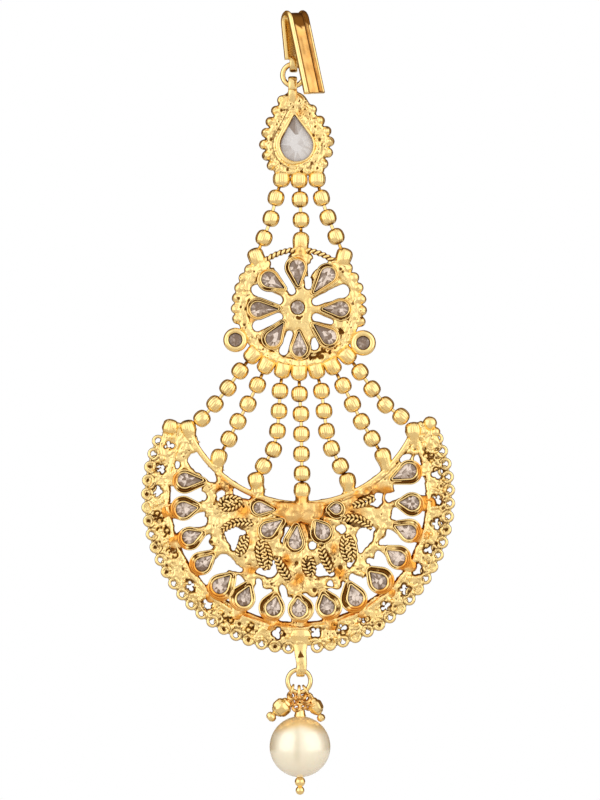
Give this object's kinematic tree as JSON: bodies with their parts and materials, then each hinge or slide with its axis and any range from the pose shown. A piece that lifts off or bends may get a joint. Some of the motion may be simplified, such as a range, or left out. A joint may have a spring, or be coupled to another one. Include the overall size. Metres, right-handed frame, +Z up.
{
  "type": "jhoomar hair ornament",
  "caption": "Hanging hair ornament: fluted hook, drop-shaped setting, ball chains, round pierced medallion, pierced crescent and a pearl drop.",
  "frame": {"origin": "inside of the hook bend, where the hook sits on what it hangs from", "axes": "+Z up, -Y towards the open-backed side, +X to the right of a viewer who looks along +Y"},
  "size_m": [0.051, 0.0108, 0.1275],
  "materials": {
    "gilt_metal": "bright gilded cast and drawn brass, rough on the rear side",
    "stone": "foiled clear glass stone, slightly grey",
    "pearl": "cream pearl lustre"
  },
  "bodies": {
    "hook": {"hook": "gilt_metal"},
    "hook_link": {"hook_ring": "gilt_metal"},
    "pendant": {"top_setting": "gilt_metal", "top_stone": "stone", "upper_chain_left": "gilt_metal", "upper_chain_middle": "gilt_metal", "upper_chain_right": "gilt_metal", "wheel_medallion": "gilt_metal", "lower_chain_1": "gilt_metal", "lower_chain_2": "gilt_metal", "lower_chain_3": "gilt_metal", "lower_chain_4": "gilt_metal", "lower_chain_5": "gilt_metal", "lower_chain_6": "gilt_metal", "lower_chain_7": "gilt_metal", "crescent": "gilt_metal"},
    "drop_link": {"drop_ring": "gilt_metal"},
    "pearl_drop": {"pearl": "pearl", "pearl_pin": "gilt_metal", "dangle_left": "gilt_metal", "dangle_right": "gilt_metal"}
  },
  "joints": [
    {"name": "hook_tilt", "type": "hinge", "parent": "hook", "child": "hook_link", "pos_m": [-0.00106, 0.0006, -0.00784], "axis": [1, 0, 0], "range_deg": [-20, 90]},
    {"name": "pendant_sway", "type": "hinge", "parent": "hook_link", "child": "pendant", "pos_m": [-0.00106, 0.0006, -0.00959], "axis": [0, 1, 0], "range_deg": [-25, 25]},
    {"name": "drop_swing", "type": "hinge", "parent": "pendant", "child": "drop_link", "pos_m": [-0.00015, 0.0006, -0.1062], "axis": [1, 0, 0], "range_deg": [-80, 80]},
    {"name": "drop_sway", "type": "hinge", "parent": "drop_link", "child": "pearl_drop", "pos_m": [-0.00015, 0.0006, -0.10806], "axis": [0, 1, 0], "range_deg": [-35, 35]}
  ]
}
